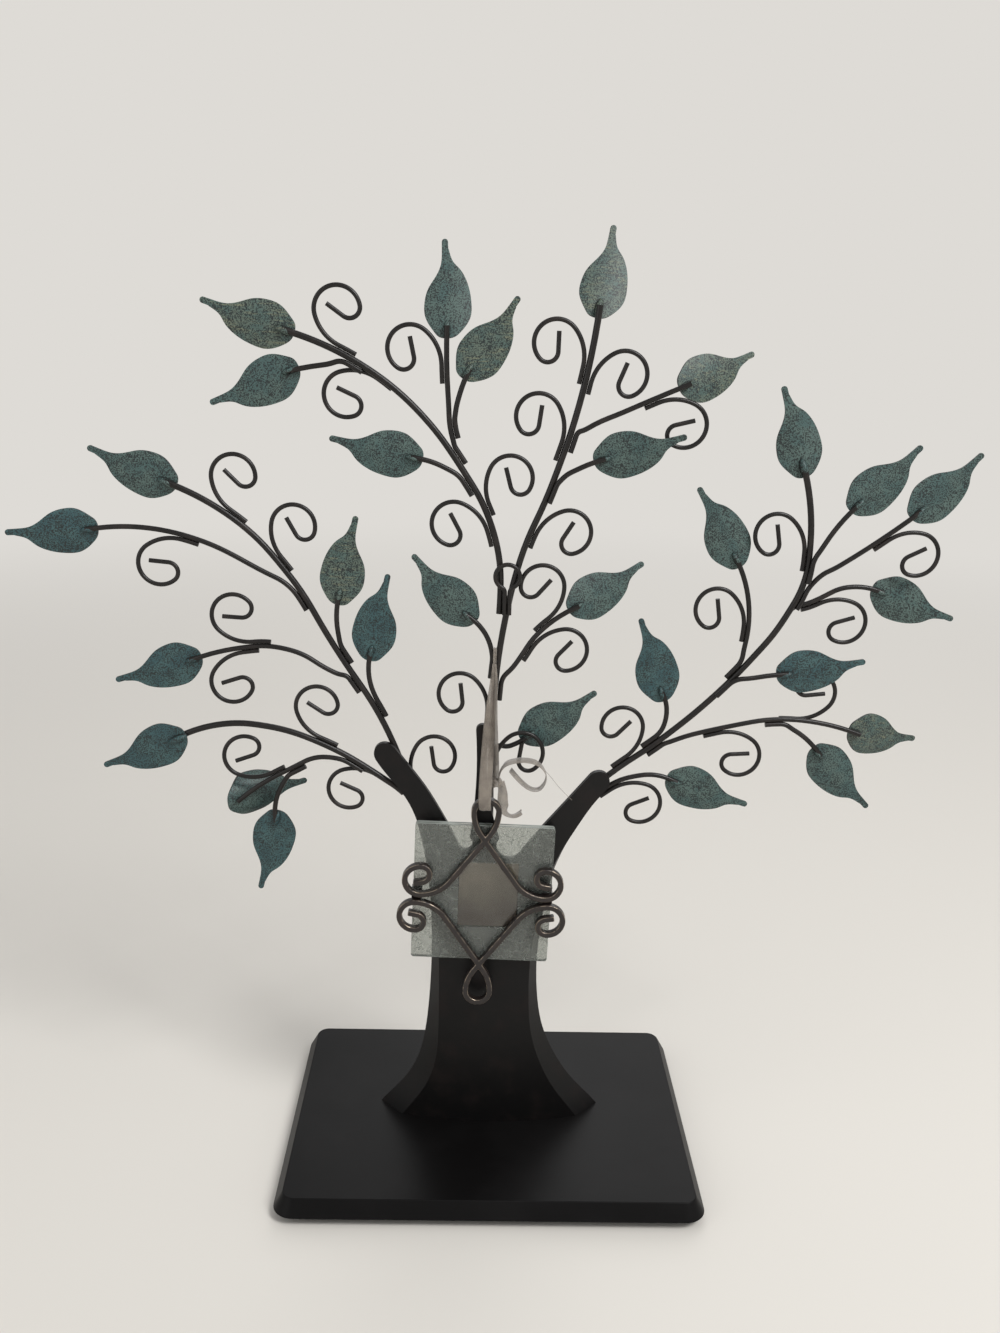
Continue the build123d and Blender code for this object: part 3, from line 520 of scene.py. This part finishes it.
def eased_copy(
    node: str, name: str, bevel_mm: float, material: bpy.types.Material, body: str
) -> bpy.types.Object:
    """Replaces a sharp node by the same form with its edges eased.

    Args:
        node: the node's name.
        name: the new piece's name.
        bevel_mm: how wide the eased edge is.
        material: its material.
        body: the body that it rides on.

    Returns:
        The new piece.
    """
    work = bmesh.new()
    work.from_mesh(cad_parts[node].data)
    bmesh.ops.remove_doubles(work, verts=work.verts, dist=WELD)
    bmesh.ops.dissolve_limit(work, angle_limit=FLAT, verts=work.verts, edges=work.edges)
    mesh = bpy.data.meshes.new(name)
    work.to_mesh(mesh)
    work.free()
    mesh.shade_smooth()
    mesh.set_sharp_from_angle(angle=CREASE)
    piece = dressed(name, mesh, material, body)
    soft = piece.modifiers.new("eased", "BEVEL")
    soft.width = bevel_mm * MM
    soft.segments = 2
    soft.limit_method = "ANGLE"
    soft.angle_limit = CREASE
    level = piece.modifiers.new("level", "WEIGHTED_NORMAL")
    level.keep_sharp = False
    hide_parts(node)
    return piece


@dataclass
class Plinth:
    """The wooden plinth with its felt and hardware."""

    edge_mm: float = 0.9

    def build(self) -> None:
        """Dresses the plinth, the felt and the screws from below."""
        board = PaintedBoard("lacquered_board").build()
        eased_copy("base_plinth", "plinth_board", self.edge_mm, board, "tree")
        paint(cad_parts["base_felt"], WoolFelt("pressed_felt").build())
        zinc = ZincPlate("zinc_plate").build()
        for node in ("base_screws", "base_washers"):
            paint(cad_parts[node], zinc)


@dataclass
class Trunk:
    """The rolled steel trunk and its foot plate."""

    edge_mm: float = 0.7

    def build(self) -> None:
        """Dresses the sheet and the plate behind its foot."""
        coat = PowderCoat("satin_black_coat", colour="#0b0a0a", worn="#15100f").build()
        eased_copy("trunk_panel", "trunk_sheet", self.edge_mm, coat, "tree")
        paint(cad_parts["trunk_foot_plate"], coat)


@dataclass
class Crown:
    """The wires, the scrolls, the leaves and the beads where each leaf is soldered on."""

    rim_mm: float = 0.22
    bead_length_mm: float = 8.0
    bead_width_mm: float = 3.1
    bead_height_mm: float = 2.6
    bead_set_mm: float = 4.2
    stem_share: float = 1.25
    turned_away: str = "left_5"
    tones: dict[str, Tone] = field(default_factory=lambda: {
        "left_2": Tone.BLUE, "left_3": Tone.BLUE, "left_8": Tone.BLUE, "left_6": Tone.BLUE,
        "left_low": Tone.BLUE, "right_6": Tone.BLUE, "right_7": Tone.BLUE,
        "centre_left": Tone.OLIVE, "centre_high": Tone.OLIVE, "centre_7": Tone.OLIVE,
        "left_7": Tone.OLIVE, "centre_4": Tone.OLIVE, "right_9": Tone.OLIVE,
    })

    def build(self) -> None:
        """Dresses every wire and leaf."""
        wire = PowderCoat(
            "bronze_wire_coat", colour="#13100e", worn="#231d1a", roughness=0.36, gloss=0.38, cloud_mm=9.0
        ).build()
        leaf = {
            Tone.TEAL: SpeckledVerdigris("verdigris_teal").build(),
            Tone.BLUE: SpeckledVerdigris("verdigris_blue", ground="#3b5859", patch="#2d4c50").build(),
            Tone.OLIVE: SpeckledVerdigris(
                "verdigris_olive", ground="#556258", patch="#455a55", streaks=0.8
            ).build(),
        }
        for node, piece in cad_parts.items():
            if node.startswith(("stem", "twigs", "scrolls", "hanging_eye")):
                paint(piece, wire)
            elif node.startswith("leaf_"):
                place = node.removeprefix("leaf_")
                material = leaf[self.tones.get(place, Tone.TEAL)]
                eased_copy(node, f"{node}_sheet", self.rim_mm, material, "tree")
                if place != self.turned_away:
                    self.bead(node, material)

    def bead(self, node: str, material: bpy.types.Material) -> None:
        """Raises the solder bead over the wire's end on one leaf.

        Args:
            node: the leaf's node.
            material: the bead's material.
        """
        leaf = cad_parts[node]
        points = [v.co for v in leaf.data.vertices]
        faces = leaf.data.polygons
        area = sum(face.area for face in faces)
        middle = sum((face.center * face.area for face in faces), Vector()) / area
        tip = max(points, key=lambda p: (p - middle).length)
        base = max(points, key=lambda p: (p - tip).length)
        along = (tip - base).normalized()
        place = base + along * self.bead_set_mm * MM
        sheet = bmesh.new()
        sheet.from_mesh(leaf.data)
        before = Vector((place.x, -1, place.z))
        spot, normal, _, _ = BVHTree.FromBMesh(sheet).ray_cast(before, Vector((0, 1, 0)))
        sheet.free()
        if spot is None:
            return
        along = (along - normal * along.dot(normal)).normalized()
        turn = Matrix((along, normal.cross(along), normal)).transposed().to_4x4()
        work = bmesh.new()
        bmesh.ops.create_uvsphere(work, u_segments=20, v_segments=12, radius=0.5)
        size = Vector((self.bead_length_mm, self.bead_width_mm, 2 * self.bead_height_mm)) * MM
        if node.replace("leaf_", "stem_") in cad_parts:
            size *= self.stem_share
        bmesh.ops.scale(work, vec=size, verts=work.verts)
        bmesh.ops.transform(work, matrix=Matrix.Translation(spot) @ turn, verts=work.verts)
        mesh = bpy.data.meshes.new(f"{node}_bead")
        work.to_mesh(mesh)
        work.free()
        mesh.shade_smooth()
        dressed(f"{node}_bead", mesh, material, "tree")


@dataclass
class Ornament:
    """The glass picture holder between its scrolled strips."""

    strip_edge_mm: float = 0.55
    glass_edge_mm: float = 0.25
    air_mm: float = 0.06

    def build(self) -> None:
        """Dresses the panes, the card, the clips and the strips."""
        glass = EtchedGlass("etched_glass").build()
        strip = RubbedStrip("rubbed_bronze").build()
        pane = eased_copy("glass_front", "front_pane", self.glass_edge_mm, glass, "ornament")
        inner = max(vertex.co.y for vertex in pane.data.vertices)
        for vertex in pane.data.vertices:
            if vertex.co.y > inner - self.air_mm * MM:
                vertex.co.y -= self.air_mm * MM
        paint(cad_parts["glass_back"], EtchedGlass("clear_glass", etch=0.0, haze=0.0).build())
        paint(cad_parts["photo_card"], PrintedCard("picture_card").build())
        for node, name in (("upper_frame", "upper_scrolls"), ("lower_frame", "lower_scrolls")):
            eased_copy(node, name, self.strip_edge_mm, strip, "ornament")
        paint(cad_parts["side_clips"], strip)


@dataclass
class Route:
    """A ribbon's way in space: its points and the way that its width lies there, in millimetres."""

    points: Sequence[tuple[float, float, float]]
    across: Sequence[tuple[float, float, float]]
    widths: Sequence[float]
    steps: int = 12

    def line(self) -> list[Vector]:
        """The smooth line that the ribbon's middle follows.

        Returns:
            Points along it, in metres.
        """
        curve = bpy.data.curves.new("route", "CURVE")
        curve.dimensions = "3D"
        curve.resolution_u = self.steps
        spline = curve.splines.new("NURBS")
        spline.points.add(len(self.points) - 1)
        for place, point in zip(spline.points, self.points):
            place.co = (*(value * MM for value in point), 1)
        spline.order_u = 3
        spline.use_endpoint_u = True
        holder = bpy.data.objects.new("route", curve)
        mesh = bpy.data.meshes.new_from_object(holder)
        found = [v.co.copy() for v in mesh.vertices]
        bpy.data.objects.remove(holder)
        bpy.data.curves.remove(curve)
        bpy.data.meshes.remove(mesh)
        return found

    def length(self) -> float:
        """The line's length in metres."""
        line = self.line()
        return sum((b - a).length for a, b in zip(line, line[1:]))

    def at(self, share: float, values: Sequence[Any]) -> Any:
        """A value between those of the points, at a share of the way."""
        place = share * (len(values) - 1)
        low = min(int(place), len(values) - 2)
        part = place - low
        first, second = values[low], values[low + 1]
        if isinstance(first, tuple):
            return Vector(first).lerp(Vector(second), part)
        return first + (second - first) * part


@dataclass
class Ribbon:
    """The organza ribbon: the band through the ornament's loop, its knot, its ends and its top fold."""

    width_mm: float = 6.2
    thickness_mm: float = 0.14
    strands: int = 8
    cup_mm: float = 0.5
    cup_share: float = 0.6
    cup_full_mm: float = 4.0
    ripple_mm: float = 1.2
    ripple_waves: float = 1.5
    ripple_run: float = 9.0
    pleats: float = 2.5
    pleat_depth: float = 0.10
    pleat_lean: float = 5.0
    waist_depth: float = 0.22
    waist_reach: float = 0.14
    band: Route = field(default_factory=lambda: Route(
        points=(
            (-3.3, -10.9, 260.4), (-3.8, -11.3, 250.0), (-4.8, -14.2, 234.5), (-5.5, -17.7, 220.0),
            (-6.3, -22.4, 206.0), (-6.6, -24.2, 197.0), (-6.4, -24.2, 191.2), (-5.9, -20.4, 190.4),
            (-5.4, -16.6, 191.2), (-5.2, -16.6, 197.0), (-3.6, -17.4, 202.0), (-1.3, -19.0, 205.5),
            (-1.2, -19.8, 213.0), (-1.7, -18.6, 225.0), (-2.6, -14.6, 240.0), (-3.1, -12.2, 252.0),
            (-3.3, -11.2, 260.4),
        ),
        across=((1, 0, 0),) * 10 + (
            (1, -0.3, 0.3), (0.8, -0.6, 0), (0.45, -0.9, 0), (0.3, -0.95, 0),
            (0.3, -0.95, 0), (0.5, -0.8, 0), (1, 0, 0),
        ),
        widths=(1.8, 4.2, 5.8, 6.2, 6.2, 6.0, 5.2, 4.8, 4.8, 4.4, 3.4, 3.4, 5.6, 6.2, 6.0, 4.2, 1.8),
    ))
    curl: Route = field(default_factory=lambda: Route(
        points=(
            (0.2, -19.3, 204.0), (0.2, -19.5, 212.5), (9.5, -19.6, 216.0), (19.5, -19.7, 214.5),
            (23.6, -19.6, 207.0), (19.5, -19.3, 199.6), (12.0, -18.8, 202.0), (5.5, -18.2, 210.0),
        ),
        across=(
            (0, 1, 0.2), (0, 1, 0.2), (0.1, 1, 0.1), (0, 1, 0.1), (0, 1, 0), (0, 1, 0),
            (0.2, 1, 0), (0.3, 1, 0.2),
        ),
        widths=(3.0, 5.2, 5.8, 6.0, 6.0, 5.8, 5.6, 5.0),
    ))
    tail: Route = field(default_factory=lambda: Route(
        points=(
            (1.2, -18.0, 204.0), (2.2, -16.9, 199.0), (2.2, -16.8, 192.0),
            (3.6, -17.0, 186.6), (8.6, -17.6, 185.6), (11.6, -18.2, 188.6),
        ),
        across=((1, 0, 0), (1, 0, 0), (1, 0.1, 0), (0.5, 0.9, 0), (0, 1, 0.1), (0, 1, 0.3)),
        widths=(3.0, 4.8, 5.2, 5.0, 4.6, 4.2),
    ))
    fold: Route = field(default_factory=lambda: Route(
        points=(
            (-3.2, -10.7, 259.2), (-3.2, -10.8, 264.6), (-3.2, -10.2, 267.3), (-3.2, -8.4, 267.6),
            (-3.2, -6.6, 267.3), (-3.2, -6.0, 264.6), (-3.2, -6.1, 259.2),
        ),
        across=((1, 0, 0),) * 7,
        widths=(1.5, 1.7, 1.8, 1.8, 1.8, 1.7, 1.5),
    ))
    thread: tuple[tuple[float, float, float], ...] = (
        (21.2, -19.4, 211.2), (24.5, -19.2, 207.8), (29.0, -19.0, 201.6), (35.6, -18.8, 195.2),
    )
    thread_mm: float = 0.25

    def build(self) -> None:
        """Makes the whole ribbon."""
        cloth = Organza("organza").build()
        band = self.cloth("ribbon_band", self.band, cloth, "ribbon")
        curl = self.cloth("ribbon_curl", self.curl, cloth, "ribbon")
        tail = self.cloth("ribbon_tail", self.tail, cloth, "ribbon")
        fold = self.cloth("ribbon_top_fold", self.fold, cloth, "tree")
        knot = self.knot(cloth)
        thread = self.loose_thread(cloth)
        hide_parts("ribbon_loop")
        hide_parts("ribbon_tails")
        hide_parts("ribbon_bight")
        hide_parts("ribbon_knot")
        round(self.band.length(), 4)
        self.band.line()
        round(self.curl.length(), 4)
        self.curl.line()

    @staticmethod
    def start(route: Route) -> tuple[float, ...]:
        """A route's first point in metres."""
        return tuple(value * MM for value in route.points[0])

    def cloth(self, name: str, route: Route, material: bpy.types.Material, body: str) -> bpy.types.Object:
        """Lays a strip of the cloth along a route.

        Args:
            name: the piece's name.
            route: the way that it follows.
            material: the cloth's material.
            body: the body that it rides on.

        Returns:
            The ribbon piece.
        """
        line = route.line()
        last = len(line) - 1
        run = [0.0]
        for a, b in zip(line, line[1:]):
            run.append(run[-1] + (b - a).length)
        work = bmesh.new()
        bmesh.ops.create_grid(work, x_segments=last, y_segments=self.strands, size=0.5)
        layer = work.loops.layers.uv.new("cloth")
        flat: dict[int, tuple[float, float]] = {}
        work.verts.index_update()
        for vertex in work.verts:
            step = round((vertex.co.x + 0.5) * last)
            share = vertex.co.y
            ahead = (line[min(step + 1, last)] - line[max(step - 1, 0)]).normalized()
            side = route.at(step / last, route.across)
            side = (side - ahead * side.dot(ahead)).normalized()
            width = route.at(step / last, route.widths) * MM
            wave = math.sin(self.ripple_waves * math.tau * share + self.ripple_run * step / last)
            ripple = self.ripple_mm * wave * (1 - width / (self.width_mm * MM))
            full = min(width / (self.cup_full_mm * MM), 1)
            cup = (self.cup_mm * (1 - 4 * share**2) + ripple) * MM * full * self.cup_share
            vertex.co = line[step] + side * width * share + ahead.cross(side) * cup
            flat[vertex.index] = (run[step] / MM, share * self.width_mm)
        for face in work.faces:
            for loop in face.loops:
                loop[layer].uv = flat[loop.vert.index]
        mesh = bpy.data.meshes.new(name)
        work.to_mesh(mesh)
        work.free()
        mesh.shade_smooth()
        piece = dressed(name, mesh, material, body)
        wall = piece.modifiers.new("cloth", "SOLIDIFY")
        wall.thickness = self.thickness_mm * MM
        wall.offset = 0
        return piece

    def knot(self, material: bpy.types.Material) -> bpy.types.Object:
        """Ties the small flat knot as a ball of cloth with drawn-in folds.

        Args:
            material: the cloth's material.

        Returns:
            The knot.
        """
        low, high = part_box("ribbon_knot")
        work = bmesh.new()
        bmesh.ops.create_icosphere(work, subdivisions=4, radius=0.5)
        layer = work.loops.layers.uv.new("cloth")
        for vertex in work.verts:
            around = math.atan2(vertex.co.z, vertex.co.x)
            fold = math.sin(self.pleats * around + self.pleat_lean * vertex.co.y)
            pleat = 1 - self.pleat_depth * abs(fold)
            waist = 1 - self.waist_depth * math.exp(-(vertex.co.x / self.waist_reach) ** 2)
            vertex.co *= pleat
            vertex.co.z *= waist
        size = high - low
        bmesh.ops.scale(work, vec=size, verts=work.verts)
        bmesh.ops.translate(work, vec=(low + high) / 2, verts=work.verts)
        for face in work.faces:
            for loop in face.loops:
                loop[layer].uv = (loop.vert.co.x / MM, loop.vert.co.z / MM)
        mesh = bpy.data.meshes.new("ribbon_tie")
        work.to_mesh(mesh)
        work.free()
        mesh.shade_smooth()
        return dressed("ribbon_tie", mesh, material, "ribbon")

    def loose_thread(self, material: bpy.types.Material) -> bpy.types.Object:
        """Frays one thread from the curl's edge.

        Args:
            material: the cloth's material.

        Returns:
            The thread.
        """
        line = Route(self.thread, (), ()).line()
        work = bmesh.new()
        ring = bmesh.ops.create_circle(work, segments=6, radius=self.thread_mm * MM / 2)["verts"]
        ahead = (line[1] - line[0]).normalized()
        turn = ahead.to_track_quat("Z", "Y").to_matrix().to_4x4()
        bmesh.ops.transform(work, matrix=Matrix.Translation(line[0]) @ turn, verts=ring)
        edges = list(work.edges)
        for a, b in zip(line, line[1:]):
            made = bmesh.ops.extrude_edge_only(work, edges=edges)["geom"]
            fresh = [item for item in made if isinstance(item, bmesh.types.BMVert)]
            rims = [item for item in made if isinstance(item, bmesh.types.BMEdge)]
            edges = [edge for edge in rims if all(v in fresh for v in edge.verts)]
            bmesh.ops.translate(work, vec=b - a, verts=fresh)
        bmesh.ops.holes_fill(work, edges=work.edges)
        bmesh.ops.recalc_face_normals(work, faces=work.faces)
        mesh = bpy.data.meshes.new("ribbon_thread")
        work.to_mesh(mesh)
        work.free()
        mesh.shade_smooth()
        return dressed("ribbon_thread", mesh, material, "ribbon")


@dataclass(frozen=True)
class SoftLamp:
    """One square soft lamp: its name, its place, its side in metres and its power in watts."""

    name: str
    place: tuple[float, float, float]
    size: float
    watts: float

    def hang(self, target: Vector) -> None:
        """Hangs the lamp so that it looks at a point."""
        data = bpy.data.lights.new(self.name, "AREA")
        data.size = self.size
        data.energy = self.watts
        holder = bpy.data.objects.new(self.name, data)
        turn = (target - Vector(self.place)).to_track_quat("-Z", "Y").to_matrix().to_4x4()
        holder.matrix_world = Matrix.Translation(self.place) @ turn
        bpy.context.scene.collection.objects.link(holder)


@dataclass
class Studio:
    """The camera, the pale floor and the soft lamps."""

    place: tuple[float, float, float] = (-0.0134, -0.5725, 0.4116)
    right: tuple[float, float, float] = (0.99954, -0.01569, 0.02578)
    look: tuple[float, float, float] = (0.02190, 0.96482, -0.26199)
    lens_mm: float = 33.21
    film_mm: float = 36.0
    near: float = 0.01
    lamps: tuple[SoftLamp, ...] = (
        SoftLamp("key", (0.9, -0.9, 1.5), 0.6, 24),
        SoftLamp("fill", (-1.4, -1.1, 0.9), 1.4, 6),
        SoftLamp("rim", (0.3, 1.5, 1.3), 1.2, 7),
    )
    aim: tuple[float, float, float] = (0, 0, 0.2)
    world_strength: float = 0.5
    floor_size: float = 40.0
    fade_start: float = 0.5
    fade_end: float = 2.2
    floor_colour: str = "#d8d4cd"
    floor_roughness: float = 0.8
    sky_colour: str = "#dedbd6"

    def camera(self) -> None:
        """Stands the camera where the photograph was taken from."""
        data = bpy.data.cameras.new("camera")
        data.lens = self.lens_mm
        data.sensor_width = self.film_mm
        data.clip_start = self.near
        holder = bpy.data.objects.new("camera", data)
        right, look = Vector(self.right), Vector(self.look)
        up = right.cross(look)
        turn = Matrix((right, up, -look)).transposed().to_4x4()
        holder.matrix_world = Matrix.Translation(self.place) @ turn
        bpy.context.scene.collection.objects.link(holder)
        bpy.context.scene.camera = holder

    def floor(self) -> None:
        """Lays the pale floor."""
        work = bmesh.new()
        bmesh.ops.create_grid(work, x_segments=1, y_segments=1, size=self.floor_size / 2)
        mesh = bpy.data.meshes.new("floor")
        work.to_mesh(mesh)
        work.free()
        material = bpy.data.materials.new("floor_paper")
        material.use_nodes = True
        tree = material.node_tree
        tree.nodes.clear()
        where = add(tree, "TexCoord").outputs["Object"]
        paper = add(tree, "BsdfPrincipled", {
            "Base Color": linear(self.floor_colour),
            "Roughness": self.floor_roughness,
        })
        glow = add(tree, "Emission", {"Color": linear(self.sky_colour), "Strength": 1.0})
        away = add(tree, "VectorMath", {0: where}, operation="LENGTH").outputs["Value"]
        far = Finish.ramp(tree, away, self.fade_start, self.fade_end)
        mix = add(tree, "MixShader", {0: far, 1: paper.outputs[0], 2: glow.outputs[0]})
        out = add(tree, "OutputMaterial")
        tree.links.new(mix.outputs[0], out.inputs["Surface"])
        mesh.materials.append(material)
        sheet = bpy.data.objects.new("floor", mesh)
        bpy.context.scene.collection.objects.link(sheet)

    def build(self) -> None:
        """Sets up the whole studio."""
        self.camera()
        self.floor()
        for lamp in self.lamps:
            lamp.hang(Vector(self.aim))
        world = bpy.data.worlds.new("studio")
        bpy.context.scene.world = world
        world.use_nodes = True
        tree = world.node_tree
        tree.nodes.clear()
        path = add(tree, "LightPath")
        straight = {0: path.outputs["Is Camera Ray"], 1: path.outputs["Is Transmission Ray"]}
        seen = add(tree, "Math", straight, operation="MAXIMUM").outputs[0]
        light = add(tree, "Background", {"Color": linear("#ffffff"), "Strength": self.world_strength})
        sky = add(tree, "Background", {"Color": linear(self.sky_colour), "Strength": 1.0})
        mix = add(tree, "MixShader", {0: seen, 1: light.outputs[0], 2: sky.outputs[0]})
        out = add(tree, "OutputWorld")
        tree.links.new(mix.outputs[0], out.inputs["Surface"])
        bpy.context.scene.view_settings.view_transform = "Standard"


def main() -> None:
    """Builds the tree piece by piece."""
    logging.basicConfig(level=logging.INFO)
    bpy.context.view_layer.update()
    Studio().build()
    for part in (Ribbon(), Plinth(), Trunk(), Crown(), Ornament()):
        log.info("building %s", type(part).__name__)
        part.build()


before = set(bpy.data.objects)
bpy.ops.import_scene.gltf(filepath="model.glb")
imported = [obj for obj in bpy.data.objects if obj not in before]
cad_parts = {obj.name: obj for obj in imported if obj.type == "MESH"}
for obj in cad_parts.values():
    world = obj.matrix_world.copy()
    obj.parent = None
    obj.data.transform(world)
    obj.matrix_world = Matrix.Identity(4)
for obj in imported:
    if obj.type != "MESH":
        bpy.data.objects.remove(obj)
if __name__ == "__main__":
    main()
